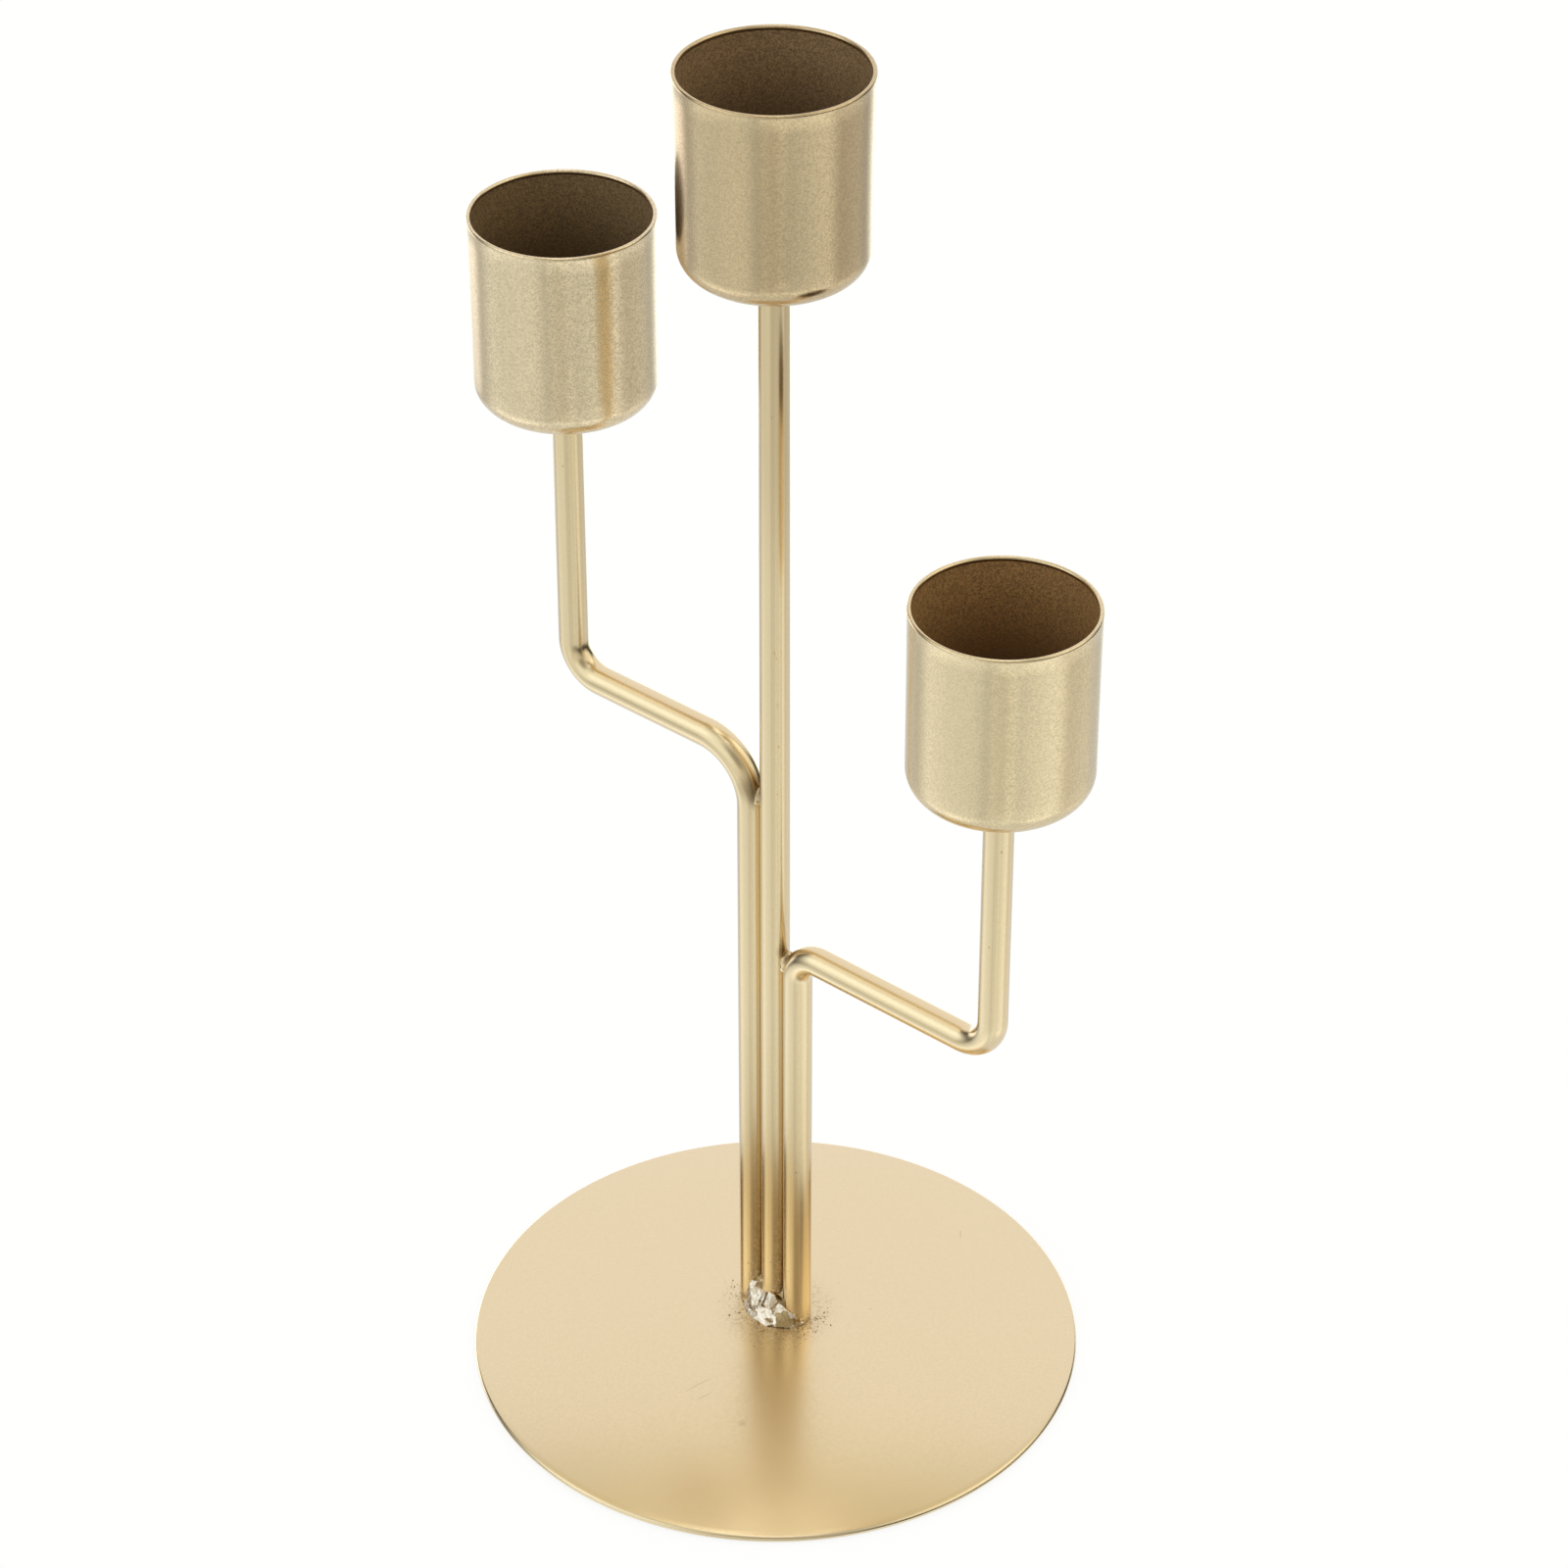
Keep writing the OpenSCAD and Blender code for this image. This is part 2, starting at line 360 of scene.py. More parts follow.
def worn_round_the_weld(tree, place, coat, rough, relief, rgb):
    """Soot and a dull halo round the weld, a dull spot and short scratches, on the base."""
    away = add_node(tree, "VectorMath", DISTANCE, [place, Vector(HALO_MIDDLE) * MM], "Value")
    halo = add_node(tree, "MapRange", SOFT_STEP, [away, 9.8 * MM, 3.6 * MM])
    grit_scale = 1 / (0.4 * MM)
    grit = add_node(tree, "TexNoise", {}, {"Vector": place, "Scale": grit_scale, "Roughness": 0.8})
    grit = add_node(tree, "MapRange", SOFT_STEP, [grit, 0.53, 0.60, 0.0, 0.6])
    specks = add_node(tree, "Math", TIMES, [halo, grit])
    dull = add_node(tree, "Math", TIMES, [halo, 0.35])
    rough = add_node(tree, "Math", {"operation": "MULTIPLY_ADD"}, [halo, 0.12, rough])
    relief = add_node(tree, "Math", {"operation": "MULTIPLY_ADD"}, [specks, 6.0, relief])
    away = add_node(tree, "VectorMath", DISTANCE, [place, Vector(DULL_SPOT) * MM], "Value")
    spot = add_node(tree, "MapRange", SOFT_STEP, [away, 1.1 * MM, 0.2 * MM, 0.0, 0.6])

    layers = [(specks, (0.40, 0.33, 0.26)), (dull, (0.86,)), (spot, (0.5,))]
    for middle, turn, reach in BASE_SCRATCHES:
        turned, half_size = (0, 0, math.radians(turn)), (reach * MM, 0.09 * MM, 1)
        along = add_node(
            tree,
            "Mapping",
            {"vector_type": "TEXTURE"},
            [place, Vector(middle) * MM, turned, half_size],
        )
        away = add_node(tree, "VectorMath", {"operation": "LENGTH"}, [along], "Value")
        line = add_node(tree, "MapRange", SOFT_STEP, [away, 1.6, 0.4, 0.0, 0.45])
        layers.append((line, (0.6,)))
    for share, tint in layers:
        coat = add_node(tree, "Mix", COLOURS, {0: share, 6: coat, 7: toned(rgb, *tint)}, 2)
    return coat, rough, relief


def weld_metal(key, rgb):
    """Weld metal under a thin mist of the paint: bright, smooth and silvery, browned in places."""
    material, tree = new_material(key.replace("_", " ") + " under a mist of paint")
    place = add_node(tree, "TexCoord", {}, {}, "Object")
    burnt = toned(bpy.context.scene.candelabra_finishes.burnt_metal, 1)
    patches = add_node(tree, "TexNoise", {}, {"Vector": place, "Scale": 1 / (0.9 * MM)})
    share = add_node(tree, "MapRange", SOFT_STEP, [patches, 0.46, 0.64, 0.0, 0.5])
    coat = add_node(tree, "Mix", COLOURS, {0: share, 6: toned(rgb, 1), 7: burnt}, 2)
    rough = add_node(tree, "MapRange", SOFT_STEP, [patches, 0.3, 0.7, 0.30, 0.42])
    surface = add_node(
        tree, "BsdfPrincipled", {}, {"Base Color": coat, "Metallic": 1.0, "Roughness": rough}
    )
    add_node(tree, "OutputMaterial", {}, {"Surface": surface})
    return material


# Every finish made so far, by its name
FINISHES = {}


def finish(context, key):
    """The finish of that name, made when it is first asked for."""
    if key not in FINISHES:
        rgb = tuple(getattr(context.scene.candelabra_finishes, key))
        FINISHES[key] = (weld_metal if key.endswith("_metal") else satin_gold_paint)(key, rgb)
    return FINISHES[key]


# ---------------------------------------------------------------- studio


# Soft oval lights round the candelabra, as seen from it: compass direction from +X and height above
# the horizon, half width and half height, all in degrees, then strength, where 1 is white paper,
# colour, and how soft the edge is. The photographer's dark side takes light away from the room.
LIGHTS = {
    "overhead strip": (141, 90, 10.4, 22.5, 1.07, "#FAFFFE", 0.3),
    "ceiling over the sweep": (130, 74, 50, 14, 0.71, "#FFF2CD", 0.3),
    "high card, rear left": (201, 53, 20, 10, 0.22, "#FBFFFF", 0.3),
    "right softbox": (32, 36, 34, 33, 1.08, "#FFFDEE", 0.3),
    "room behind the camera": (275, 28, 83, 58, 0.80, "#FFFEF3", 0.3),
    "photographer's dark side": (302, 36, 24, 18, -0.44, "#FBFFFA", 0.3),
    "white sweep": (129, 25.5, 50, 36, 1.06, "#FFFCF9", 0.14),
    "left softbox": (233, 28, 14, 15, 0.38, "#DCEBFF", 0.3),
    "left wall": (247, 24, 37, 33, 0.39, "#D9F0FF", 0.3),
    "sweep, low on the left": (173, -11.5, 24.7, 17.1, 1.80, "#FFFCF9", 0.3),
    "foot of the sweep": (127, -18.5, 49, 14, 1.23, "#F6FFF8", 0.3),
    "table, far right": (48, -33, 24, 15, 0.17, "#FFF6DC", 0.3),
    "table on the right": (352, -33, 28.5, 19, 0.67, "#F9FFFA", 0.3),
    "table on the left": (246, -37, 41.5, 22, 0.65, "#F7FFFE", 0.3),
    "table in front": (306, -49, 13.6, 10, 0.28, "#E9FFFA", 0.3),
    "table before the camera": (309, -35, 12.8, 12, 0.56, "#FEFFF6", 0.3),
    "table under the object": (113, -80, 84, 65, 0.88, "#FCFFFE", 0.3),
}


def light_frame(azimuth, elevation):
    """The direction of a light, and the turn that takes +X there, +Y to its right and +Z up."""
    a, e = math.radians(azimuth), math.radians(elevation)
    towards = Vector((math.cos(e) * math.cos(a), math.cos(e) * math.sin(a), math.sin(e)))
    right = Vector((-math.sin(a), math.cos(a), 0))
    return towards, Matrix((towards, right, towards.cross(right))).transposed().to_euler()


def soft_oval(tree, direction, azimuth, elevation, half_width, half_height, softness, strength=1.0):
    """How strongly a soft oval light shines from each of the world's directions."""
    towards, turn = light_frame(azimuth, elevation)
    size = (1, math.sin(math.radians(half_width)), math.sin(math.radians(half_height)))
    from_middle = add_node(
        tree, "Mapping", {"vector_type": "TEXTURE"}, [direction, towards, turn, size]
    )
    away = add_node(tree, "VectorMath", {"operation": "LENGTH"}, [from_middle], "Value")
    return add_node(tree, "MapRange", SOFT_STEP, [away, 1 + softness, 1 - softness, 0.0, strength])


def studio_world(scene):
    """White to the camera, and a studio of soft lights to everything else. Where the white sweep
    stands, metal and glass mirror the same white."""
    world = bpy.data.worlds.new("studio")
    world.use_nodes = True
    scene.world = world
    tree = world.node_tree
    tree.nodes.clear()
    rays = add_node(tree, "LightPath", {}, {}).node.outputs
    direction = add_node(tree, "TexCoord", {}, {}, "Generated")
    studio = add_node(tree, "Background", {}, {"Strength": 0.0})
    for *shape, strength, hex_colour, softness in LIGHTS.values():
        lit = soft_oval(tree, direction, *shape, softness, strength)
        rgba = (*linear(hex_colour), 1)
        light = add_node(tree, "Background", {}, {"Color": rgba, "Strength": lit})
        studio = add_node(tree, "AddShader", {}, [studio, light])
    backdrop = add_node(tree, "Background", {}, {"Color": (1, 1, 1, 1), "Strength": 1.0})
    *shape, _, _, softness = LIGHTS["white sweep"]
    on_sweep = soft_oval(tree, direction, *shape, softness)
    mirrored = add_node(
        tree, "Math", {"operation": "ADD"}, [rays["Is Glossy Ray"], rays["Is Transmission Ray"]]
    )
    mirrored = add_node(tree, "Math", TIMES, [mirrored, on_sweep])
    white = add_node(tree, "Math", {"operation": "MAXIMUM"}, [rays["Is Camera Ray"], mirrored])
    shown = add_node(tree, "MixShader", {}, [white, studio, backdrop])
    add_node(tree, "OutputWorld", {}, {"Surface": shown})


# The floor's radius in metres, and its height, just under the base's rim
FLOOR_RADIUS = 4
FLOOR_Z = -0.2 * MM


def paper_floor(scene):
    """A pale paper floor that keeps a light shadow."""
    bm = bmesh.new()
    bmesh.ops.create_circle(bm, cap_ends=True, segments=128, radius=FLOOR_RADIUS)
    bmesh.ops.translate(bm, verts=bm.verts[:], vec=UP * FLOOR_Z)
    mesh = bpy.data.meshes.new("paper_floor")
    bm.to_mesh(mesh)
    bm.free()
    floor = bpy.data.objects.new("paper_floor", mesh)
    scene.collection.objects.link(floor)
    material, tree = new_material("white backlit paper")
    paper = add_node(tree, "BsdfDiffuse", {}, {"Color": (*linear("#F4F4F4"), 1)})
    glow = add_node(tree, "Emission", {}, {"Color": (1, 1, 1, 1), "Strength": 1.06})
    shown = add_node(tree, "MixShader", {}, [0.8, paper, glow])
    add_node(tree, "OutputMaterial", {}, {"Surface": shown})
    mesh.materials.append(material)
    floor.visible_glossy = False
    floor.visible_diffuse = False


# The camera as it was fitted to the photograph: its place, the point that it looks at, and its
# focal length in millimetres
CAMERA_PLACE = Vector((0.34353, -0.39714, 0.4595))
CAMERA_AIM = Vector((0.0009, 0.0008, 0.0953))
CAMERA_LENS = 111.71


class CANDELABRA_OT_stage(bpy.types.Operator):
    """Sets up the camera, the pale floor and the studio's light"""

    bl_idname = "candelabra.stage"
    bl_label = "Studio"

    def execute(self, context):
        scene = context.scene
        scene.view_settings.view_transform = "Standard"
        camera = bpy.data.cameras.new("camera")
        camera.sensor_width = 36
        camera.lens = CAMERA_LENS
        camera.clip_start, camera.clip_end = 0.01, 10
        view = bpy.data.objects.new("camera", camera)
        view.location = CAMERA_PLACE
        view.rotation_euler = (CAMERA_AIM - CAMERA_PLACE).to_track_quat("-Z", "Y").to_euler()
        scene.collection.objects.link(view)
        scene.camera = view
        studio_world(scene)
        paper_floor(scene)
        return {"FINISHED"}


# ---------------------------------------------------------------- pieces


class CANDELABRA_OT_base(bpy.types.Operator):
    """Spins the round base, a disc of sheet pressed to a shallow crown with a rounded edge"""

    bl_idname = "candelabra.base"
    bl_label = "Base"

    def execute(self, context):
        size = context.scene.candelabra_base
        edge = size.sheet / 2
        rim_r = size.diameter / 2 - edge
        rim_z = math.sqrt(edge**2 - (size.land / 2) ** 2)
        crown_r = (rim_r**2 + size.crown**2) / (2 * size.crown)
        half_angle = math.asin(rim_r / crown_r)
        crown_centre = Vector((0, 0, rim_z + size.crown - crown_r))
        rim_centre = Vector((rim_r, 0, rim_z))
        bm = bmesh.new()
        vert = bm.verts.new((0, 0, crown_centre.z + crown_r + edge))
        vert = pen_arc(bm, vert, crown_centre, half_angle, 56)
        flat_angle = math.pi - math.asin(size.land / 2 / edge)
        vert = pen_arc(bm, vert, rim_centre, flat_angle - half_angle, 10)
        vert = pen_line(bm, vert, rim_centre + Vector((-size.land / 2, 0, -rim_z)))
        vert = pen_arc(bm, vert, rim_centre, half_angle + flat_angle - math.pi, 3)
        pen_arc(bm, vert, crown_centre, -half_angle, 40)
        lathe(bm, 256)
        piece("pressed_base", bm, [finish(context, "base_paint")], ["base_disc"])
        return {"FINISHED"}


# Sides of a wire, and length of its faces on straight runs and in bends
WIRE_SIDES = 48
RUN_STEP = 1.5 * MM
BEND_STEP = 0.25 * MM


def bent_wire(bm, wire_r, corners, bends, foot):
    """Sweeps a wire up from its foot along corners (x, z), with a bend radius at each inner one."""
    made = bmesh.ops.create_circle(bm, cap_ends=True, segments=WIRE_SIDES, radius=wire_r)
    bmesh.ops.translate(bm, verts=made["verts"], vec=(corners[0][0], 0, foot))
    edges = list(bm.faces[:][0].edges)
    at = Vector((corners[0][0], 0, foot))
    points = [Vector((x, 0, z)) for x, z in corners[1:]]
    heading = UP.copy()
    for i, corner in enumerate(points):
        last = i == len(points) - 1
        after = heading if last else (points[i + 1] - corner).normalized()
        bend = 0 if last else bends[i] * math.tan(heading.angle(after) / 2)
        run = (corner - at).length - bend
        steps = max(1, round(run / RUN_STEP))
        for _ in range(steps):
            made = bmesh.ops.extrude_edge_only(bm, edges=edges)["geom"]
            bmesh.ops.translate(bm, verts=only_verts(made), vec=heading * run / steps)
            edges = [
                g for g in made
                if isinstance(g, bmesh.types.BMEdge) and all(v in made for v in g.verts)
            ]
        if last:
            break
        turn = heading.cross(after)
        start = corner - heading * bend
        centre = start + turn.cross(heading).normalized() * bends[i]
        made = bmesh.ops.spin(
            bm,
            geom=edges + list({v for e in edges for v in e.verts}),
            cent=centre,
            axis=turn.normalized(),
            angle=heading.angle(after),
            steps=max(8, round(bends[i] / BEND_STEP)),
        )["geom_last"]
        edges = [g for g in made if isinstance(g, bmesh.types.BMEdge)]
        at = corner + after * bend
        heading = after
    bmesh.ops.contextual_create(bm, geom=edges)
    bmesh.ops.recalc_face_normals(bm, faces=bm.faces[:])


class CANDELABRA_OT_rods(bpy.types.Operator):
    """Sweeps the three wires: the straight stem and the two arms with two bends each"""

    bl_idname = "candelabra.rods"
    bl_label = "Wire Rods"

    def execute(self, context):
        size = context.scene.candelabra_wires
        cups = context.scene.candelabra_cups
        foot = cad_top("base_disc") - 0.4 * MM
        left_x, right_x = cad_middle_x("left_cup"), cad_middle_x("right_cup")
        # The wires end inside the cups' floors
        sunk = cups.height - 0.2 * MM
        floors = [cad_top(node) - sunk for node in ("stem_cup", "left_cup", "right_cup")]
        shapes = {
            "stem_wire": ("stem_rod", [(0, 0), (0, floors[0])], []),
            "left_arm_wire": (
                "left_arm_rod",
                [
                    (-size.diameter, 0),
                    (-size.diameter, size.left_run),
                    (left_x, size.left_run),
                    (left_x, floors[1]),
                ],
                [size.left_first_bend, size.left_second_bend],
            ),
            "right_arm_wire": (
                "right_arm_rod",
                [
                    (size.diameter, 0),
                    (size.diameter, size.right_run),
                    (right_x, size.right_run),
                    (right_x, floors[2]),
                ],
                [size.right_first_bend, size.right_second_bend],
            ),
        }
        for name, (node, corners, bends) in shapes.items():
            bm = bmesh.new()
            bent_wire(bm, size.diameter / 2, corners, bends, foot)
            piece(name, bm, [finish(context, "rod_paint")], [node])
        return {"FINISHED"}


# Dust nibs under the paint, as wire, height and turn round the wire in degrees, and radius in mm
PAINT_NIBS = (
    ("stem_rod", 117.0, -52, 0.20), ("stem_rod", 116.2, -44, 0.13), ("stem_rod", 109.0, -38, 0.12),
    ("stem_rod", 102.5, -35, 0.14), ("stem_rod", 95.0, -40, 0.12), ("stem_rod", 152.0, -60, 0.12),
    ("right_cup", 103.0, -40, 0.16), ("left_cup", 131.0, -70, 0.12), ("right_cup", 88.0, -75, 0.11),
)


class CANDELABRA_OT_nibs(bpy.types.Operator):
    """Sets the few dust nibs that show under the paint of the wires"""

    bl_idname = "candelabra.nibs"
    bl_label = "Paint Nibs"

    def execute(self, context):
        wire_r = context.scene.candelabra_wires.diameter / 2 / MM
        bm = bmesh.new()
        for node, height, turn, radius in PAINT_NIBS:
            turn = math.radians(turn)
            axis_x = cad_middle_x(node) / MM
            at = Vector((axis_x + wire_r * math.cos(turn), wire_r * math.sin(turn), height))
            lump(bm, at, (radius, radius, 1.4 * radius), 2)
        piece("paint_nibs", bm, [finish(context, "rod_paint")], [])
        return {"FINISHED"}


# How much each cup's rim opened after the draw, as a share of its radius
CUP_FLARE = {"stem_cup": 0.030, "left_cup": 0.012, "right_cup": 0.006}
# How far the rounded rim stands proud of the wall
RIM_BEAD = 0.06 * MM
WALL_RINGS = 12


class CANDELABRA_OT_cups(bpy.types.Operator):
    """Spins the three deep-drawn candle cups with their round-edged rims"""

    bl_idname = "candelabra.cups"
    bl_label = "Candle Cups"

    def execute(self, context):
        size = context.scene.candelabra_cups
        lip = size.wall / 2 + RIM_BEAD
        outer, bore = size.outer_radius, size.outer_radius - size.wall
        for node in ("stem_cup", "left_cup", "right_cup"):
            rim, axis = cad_top(node), Vector((cad_middle_x(node), 0, 0))
            floor = rim - size.height
            bm = bmesh.new()
            vert = bm.verts.new((0, 0, floor))
            vert = pen_line(bm, vert, Vector((outer - size.corner, 0, floor)))
            corner_centre = Vector((outer - size.corner, 0, floor + size.corner))
            vert = pen_arc(bm, vert, corner_centre, -math.pi / 2, 14)
            rise = UP * (size.height - size.corner - 2 * lip) / WALL_RINGS
            for _ in range(WALL_RINGS):
                vert = pen_line(bm, vert, vert.co + rise)
            vert = pen_line(bm, vert, Vector((outer + RIM_BEAD, 0, rim - lip)))
            vert = pen_arc(bm, vert, Vector((outer - size.wall / 2, 0, rim - lip)), -math.pi, 12)
            vert = pen_line(bm, vert, Vector((bore, 0, rim - 2 * lip)))
            for _ in range(WALL_RINGS):
                vert = pen_line(bm, vert, vert.co - rise)
            vert = pen_arc(bm, vert, corner_centre, math.pi / 2, 12)
            pen_line(bm, vert, Vector((0, 0, floor + size.wall)))
            lathe(bm, 160)
            for face in bm.faces:
                middle = face.calc_center_median()
                outwards = Vector((middle.x, middle.y, 0)).normalized()
                inside = face.normal.dot(UP - outwards) > 0.1 and middle.z < rim - 2 * lip
                face.material_index = 1 if inside else 0
            for vert in bm.verts:
                share_up = (vert.co.z - floor) / size.height
                vert.co.xy *= 1 + CUP_FLARE[node] * share_up**3
            bmesh.ops.translate(bm, verts=bm.verts[:], vec=axis)
            piece(
                node.replace("_cup", "_candle_cup"),
                bm,
                [finish(context, node + "_paint"), finish(context, node + "_inside")],
                [node],
            )
        return {"FINISHED"}


def skinned(bm, voxel):
    """One skin over all the lumps in a bmesh."""
    mesh = bpy.data.meshes.new("lumps")
    bm.to_mesh(mesh)
    bm.free()
    lumps = bpy.data.objects.new("lumps", mesh)
    bpy.context.scene.collection.objects.link(lumps)
    skin = lumps.modifiers.new("Skin", "REMESH")
    skin.mode, skin.voxel_size = "VOXEL", voxel
    evaluated = lumps.evaluated_get(bpy.context.evaluated_depsgraph_get())
    merged = bpy.data.meshes.new_from_object(evaluated)
    bm = bmesh.new()
    bm.from_mesh(merged)
    bpy.data.objects.remove(lumps)
    bpy.data.meshes.remove(mesh)
    bpy.data.meshes.remove(merged)
    drop_crumbs(bm)
    return bm


# Fewest vertices of a part of a skin that is kept
SMALLEST_PART = 50


def drop_crumbs(bm):
    """Deletes the specks that the voxels can leave beside a skin."""
    unmet = set(bm.verts)
    while unmet:
        part, front = [], [unmet.pop()]
        while front:
            vert = front.pop()
            part.append(vert)
            beside = {edge.other_vert(vert) for edge in vert.link_edges} & unmet
            unmet -= beside
            front += beside
        if len(part) < SMALLEST_PART:
            bmesh.ops.delete(bm, geom=part, context="VERTS")


def lump(bm, centre, radii, fineness=3, burnt=False):
    """An ellipsoid of weld metal, in millimetres, with the piece's second finish if it is burnt."""
    at = Matrix.Translation(Vector(centre) * MM) @ Matrix.Diagonal((*[r * MM for r in radii], 1))
    made = bmesh.ops.create_icosphere(bm, subdivisions=fineness, radius=1, matrix=at)["verts"]
    for face in {face for vert in made for face in vert.link_faces}:
        face.material_index = int(burnt)


# Radius of the base's crown, on its top surface
CROWN_RADIUS = 181.5 * MM


def crown_height(x, y):
    """Height of the base's top surface over a place on it."""
    return cad_top("base_disc") - CROWN_RADIUS + math.sqrt(CROWN_RADIUS**2 - x**2 - y**2)


# Blocks of the weld at the rods' feet, each the hull of its corners: x, y and height above the
# base's top, in millimetres. The weld froze in a few smooth facets with sharp seams between them.
FOOT_BLOCKS = {
    "heart": (
        (-3.2, -1.2, 1.6), (-3.0, -2.3, 1.2), (-0.6, -3.2, 1.1), (1.6, -3.3, 1.1),
        (3.6, -2.9, 0.9), (4.6, -1.9, 0.9), (1.4, -1.6, 2.2), (-1.6, -1.2, 2.2),
        (-3.4, -1.6, -0.2), (-2.6, -3.4, -0.2), (0.4, -4.4, -0.2), (3.2, -4.0, -0.2),
        (5.2, -1.8, -0.2), (3.0, -0.6, -0.2), (-2.0, 0.0, -0.2),
    ),
    "fill in the left groove": (
        (-2.7, -1.4, 0.0), (-1.3, -1.4, 0.0), (-2.6, -1.3, 4.1),
        (-1.4, -1.3, 4.0), (-2.0, -0.4, 4.7), (-2.0, -0.3, 0.0),
    ),
    "fill in the right groove": (
        (1.3, -1.4, 0.0), (2.7, -1.4, 0.0), (1.4, -1.3, 3.1),
        (2.6, -1.3, 3.0), (2.0, -0.4, 3.8), (2.0, -0.3, 0.0),
    ),
    "knob on the left rod": (
        (-3.0, -1.7, 3.7), (-2.0, -1.5, 3.8), (-2.0, -2.1, 3.4), (-3.0, -2.3, 3.2),
        (-3.4, -1.6, 1.6), (-1.9, -2.6, 1.8), (-2.4, 0.0, 3.0), (-3.3, 0.0, 1.0),
    ),
    "big facet": (
        (-2.8, -2.3, 3.1), (-1.2, -1.8, 3.1), (-0.3, -2.7, 2.0), (-1.1, -3.7, 0.9),
        (-2.7, -3.2, 0.6), (-3.3, -2.5, 1.9), (-2.0, 0.0, 1.0), (-2.8, -1.0, 0.0), (0.0, -1.0, 0.5),
    ),
    "seam to the stem": (
        (-1.0, -1.2, 3.4), (0.0, -2.1, 3.3), (0.2, -2.6, 2.6), (0.0, -3.6, 1.2),
        (-0.8, -3.4, 1.1), (0.5, -1.0, 1.0), (-1.0, -0.6, 1.0),
    ),
    "stem peak": (
        (0.5, -2.0, 3.7), (1.5, -1.9, 3.4), (1.2, -2.6, 3.1), (2.1, -2.4, 2.4),
        (1.6, -3.3, 1.6), (0.3, -3.1, 1.7), (1.0, -0.8, 1.0), (2.4, -1.4, 1.6),
    ),
    "valley": (
        (0.0, -3.3, 1.5), (2.0, -3.1, 1.6), (2.8, -3.8, 0.9), (1.2, -4.4, 0.6),
        (-0.6, -4.0, 0.8), (1.0, -1.0, 0.0), (2.6, -1.5, 0.6),
    ),
    "dark facet before the right rod": (
        (2.7, -2.4, 3.0), (4.3, -2.3, 2.3), (5.5, -2.0, 0.9), (5.2, -3.0, 0.0),
        (3.4, -4.3, 0.0), (2.4, -3.7, 1.0), (2.2, -2.7, 2.2), (3.0, -1.0, 0.5), (5.0, -1.2, 0.6),
    ),
    "bead beside the right rod": (
        (4.5, -2.2, 2.1), (5.1, -1.9, 1.8), (5.5, -1.6, 1.0), (5.2, -2.4, 1.1),
        (4.5, -2.6, 1.5), (4.6, -1.2, 1.2),
    ),
    "toe": (
        (5.0, -2.2, 0.7), (5.9, -1.4, 0.5), (6.2, -0.6, 0.2),
        (5.8, -1.9, -0.1), (4.8, -2.9, -0.1), (4.8, -1.0, 0.2),
    ),
    "lip on the left": (
        (-3.1, -2.8, 0.6), (-2.2, -3.4, 0.75), (-1.4, -4.0, 0.5), (-2.0, -4.2, -0.1),
        (-3.4, -3.2, -0.1), (-2.4, -2.4, 0.2),
    ),
    "lip in front": (
        (-1.6, -3.9, 0.55), (0.4, -4.4, 0.6), (2.6, -4.4, 0.45), (3.4, -4.0, 0.3),
        (2.4, -4.8, -0.1), (-0.2, -4.8, -0.1), (-1.8, -4.3, -0.1), (0.5, -3.4, 0.5),
    ),
}


def block(bm, corners):
    """A flat-faced block of weld metal round its corners, standing on the base's top."""
    foot = cad_top("base_disc")
    verts = [bm.verts.new(Vector(corner) * MM + UP * foot) for corner in corners]
    made = bmesh.ops.convex_hull(bm, input=verts)
    inner = set(only_verts(made["geom_interior"] + made["geom_unused"]))
    bmesh.ops.delete(bm, geom=list(inner), context="VERTS")


def relax(bm):
    """Draws every vertex halfway to the middle of its neighbours."""
    bmesh.ops.smooth_vert(
        bm, verts=bm.verts[:], factor=0.5, use_axis_x=True, use_axis_y=True, use_axis_z=True
    )


# Picks one pattern of facets, which without it would change from run to run
FACET_SEED = 6


def crumple(bm, cell, tilt, ridge):
    """Breaks a skin into smooth facets with raised seams, as metal that froze in steps."""
    noise.seed_set(FACET_SEED)
    bm.normal_update()
    moves = []
    for vert in bm.verts:
        distances, points = noise.voronoi(vert.co / cell)
        towards = noise.noise_vector(points[0] * 7.3)
        slope = towards.dot(vert.co / cell - points[0])
        seam = max(0.0, 1 - (distances[1] - distances[0]) / 0.35)
        moves.append(vert.normal * (tilt * slope + ridge * seam * seam))
    for vert, move in zip(bm.verts, moves):
        vert.co += move
    relax(bm)


# Painted shade on the weld, at facets that mirror dark surroundings and in the grooves' depths:
# middle and radius in millimetres
SHADED_WELD_SPOTS = (
    ((4.2, -3.1, 7.2), 1.15), ((5.7, -1.8, 6.4), 0.7), ((-0.3, -3.0, 7.7), 0.5),
    ((-2.0, -1.2, 10.0), 0.9), ((2.0, -1.2, 9.0), 0.8),
)


def shade_weld_facets(bm, cell):
    """Gives the second, darker finish to the facets of a crumpled skin that lie at a spot of
    painted shade.
    """
    for face in bm.faces:
        facet = noise.voronoi(face.calc_center_median() / cell)[1][0] * cell / MM
        near_spot = any((facet - Vector(spot)).length < radius for spot, radius in SHADED_WELD_SPOTS)
        face.material_index = int(near_spot)


# Edge length of a weld's faces, and size of the facets that it froze in
WELD_VOXEL = 0.09 * MM
FOOT_FACET = 0.9 * MM
TACK_FACET = 0.7 * MM

# Spatter on the base: middle and spread of each drift in millimetres, and number of beads
SPATTER = (
    ((-5.2, -1.6), (1.2, 1.0), 110), ((6.7, 0.4), (0.8, 1.2), 120), ((2.0, -5.1), (2.6, 0.6), 120),
    ((6.9, -3.4), (1.2, 0.9), 60), ((1.0, -1.0), (4.6, 4.2), 70),
)
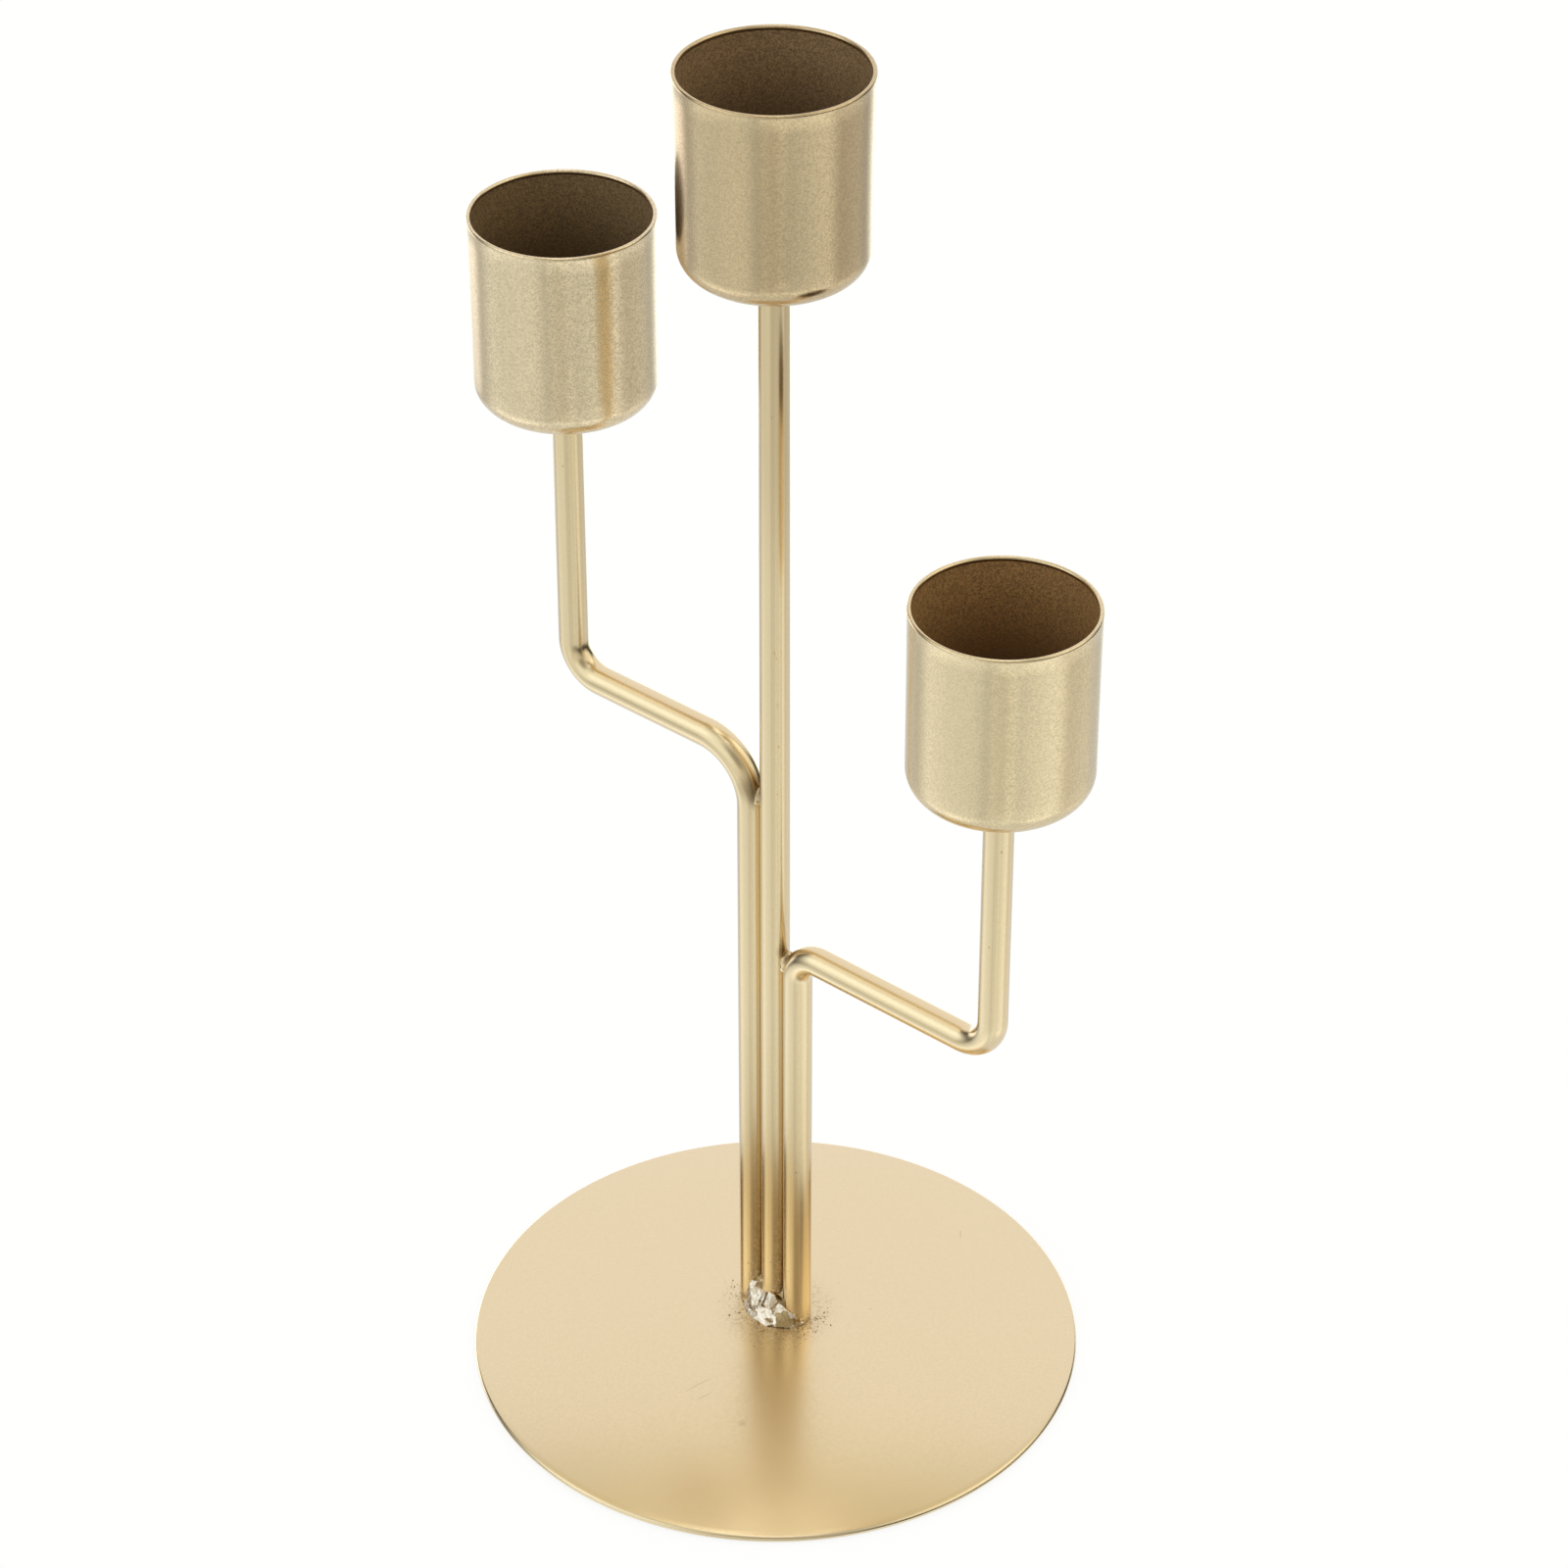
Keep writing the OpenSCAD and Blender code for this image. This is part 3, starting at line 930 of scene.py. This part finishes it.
# Spatter on the wires: the wire's x in mm, turns round it in radians, heights, and number of beads
WIRE_SPATTER = (
    (-4, (-1.3, -0.35), 9.0, 12.6, 46), (0, (-1.0, -0.3), 8.5, 12.0, 30),
    (0, (-1.5, -0.5), 14, 28, 4), (4, (-2.2, -0.4), 9, 40, 4), (4, (-2.3, -1.6), 6.2, 9, 12),
)


class CANDELABRA_OT_foot_weld(bpy.types.Operator):
    """Sculpts the weld before the rods' feet, which climbs them on the left, and its spatter"""

    bl_idname = "candelabra.foot_weld"
    bl_label = "Foot Weld"

    def execute(self, context):
        bm = bmesh.new()
        for corners in FOOT_BLOCKS.values():
            block(bm, corners)
        bm = skinned(bm, WELD_VOXEL)
        crumple(bm, FOOT_FACET, 0.10 * MM, 0.05 * MM)
        relax(bm)
        for vert in bm.verts:
            vert.co.z = max(vert.co.z, crown_height(vert.co.x, vert.co.y) - 0.35 * MM)
        # Painted shade: facets at the shaded spots take the darker finish
        shade_weld_facets(bm, FOOT_FACET)
        metals = [finish(context, "weld_metal"), finish(context, "burnt_metal")]
        piece("foot_weld", bm, metals, ["base_weld"])
        self.spatter(context)
        return {"FINISHED"}

    def spatter(self, context):
        """Beads thrown out on the base, and a few that stuck to the wires' lower parts"""
        wire_r = context.scene.candelabra_wires.diameter / 2 / MM
        draw = random.Random(11)
        bm = bmesh.new()
        for middle, spread, count in SPATTER:
            for _ in range(count):
                x, y = draw.gauss(middle[0], spread[0]), draw.gauss(middle[1], spread[1])
                radius = 0.05 + 0.10 * draw.random() ** 3
                if abs(y) < 2.2 and abs(x) < 6.2:
                    continue
                at = Vector((x, y, crown_height(x * MM, y * MM) / MM + 0.3 * radius))
                lump(bm, at, (radius, radius, 0.8 * radius), 1, draw.random() < 0.55)
        for middle_x, turns, low, high, count in WIRE_SPATTER:
            for _ in range(count):
                angle, radius = draw.uniform(*turns), 0.05 + 0.10 * draw.random() ** 2
                x, y = middle_x + wire_r * math.cos(angle), wire_r * math.sin(angle)
                at = Vector((x, y, draw.uniform(low, high)))
                lump(bm, at, (radius, radius, radius), 1, draw.random() < 0.6)
        metals = [finish(context, "weld_metal"), finish(context, "burnt_metal")]
        piece("weld_spatter", bm, metals, [])


class CANDELABRA_OT_small_welds(bpy.types.Operator):
    """Makes the tack welds in the crotches of the arms and the upset rings under the cups"""

    bl_idname = "candelabra.small_welds"
    bl_label = "Small Welds"

    def execute(self, context):
        for side, node in ((-1, "left_rod_weld"), (1, "right_rod_weld")):
            low, high = NODE_BOXES[node]
            middle = (low + high) / 2 / MM
            bm = bmesh.new()
            lump(bm, middle, (0.9, 1.25, 1.3))
            lump(bm, middle + Vector((0.1 * side, -0.3, -0.8)), (0.7, 1.1, 0.9))
            bm = skinned(bm, WELD_VOXEL)
            crumple(bm, TACK_FACET, 0.12 * MM, 0.04 * MM)
            name = node.replace("rod_weld", "crotch_tack")
            piece(name, bm, [finish(context, "rod_paint")], [node])
        wire_r = context.scene.candelabra_wires.diameter / 2
        for node in ("stem_cup_weld", "left_cup_weld", "right_cup_weld"):
            low, high = NODE_BOXES[node]
            leg = high.z - low.z
            bm = bmesh.new()
            corner = bm.verts.new((wire_r - 0.1 * MM, 0, low.z))
            vert = pen_line(bm, corner, Vector((wire_r, 0, low.z)))
            vert = pen_arc(bm, vert, Vector((wire_r + leg, 0, low.z)), math.pi / 2, 8)
            vert = pen_line(bm, vert, Vector((wire_r + leg, 0, high.z + 0.1 * MM)))
            vert = pen_line(bm, vert, Vector((wire_r - 0.1 * MM, 0, high.z + 0.1 * MM)))
            bmesh.ops.contextual_create(bm, geom=[vert, corner])
            lathe(bm, 64)
            bmesh.ops.translate(bm, verts=bm.verts[:], vec=(cad_middle_x(node), 0, 0))
            name = node.replace("cup_weld", "cup_ring")
            piece(name, bm, [finish(context, "rod_paint")], [node])
        return {"FINISHED"}


class CANDELABRA_PT_panel(bpy.types.Panel):
    bl_label = "Candelabra"
    bl_idname = "CANDELABRA_PT_panel"
    bl_space_type = "VIEW_3D"
    bl_region_type = "UI"
    bl_category = "Candelabra"

    def draw(self, context):
        for name, group in GROUPS.items():
            box = self.layout.box()
            for key in group.__annotations__:
                box.prop(getattr(context.scene, name), key)
        for operator in OPERATORS:
            self.layout.operator(operator.bl_idname)


OPERATORS = (
    CANDELABRA_OT_stage,
    CANDELABRA_OT_base,
    CANDELABRA_OT_rods,
    CANDELABRA_OT_nibs,
    CANDELABRA_OT_cups,
    CANDELABRA_OT_foot_weld,
    CANDELABRA_OT_small_welds,
)


def register():
    for cls in (*GROUPS.values(), *OPERATORS, CANDELABRA_PT_panel):
        bpy.utils.register_class(cls)
    for name, group in GROUPS.items():
        setattr(bpy.types.Scene, name, bpy.props.PointerProperty(type=group))


def unregister():
    for name in GROUPS:
        delattr(bpy.types.Scene, name)
    for cls in (CANDELABRA_PT_panel, *OPERATORS, *GROUPS.values()):
        bpy.utils.unregister_class(cls)


def build_candelabra():
    """Builds the stage and every piece."""
    register()
    for operator in OPERATORS:
        category, name = operator.bl_idname.split(".")
        getattr(getattr(bpy.ops, category), name)()


if __name__ == "__main__":
    build_candelabra()
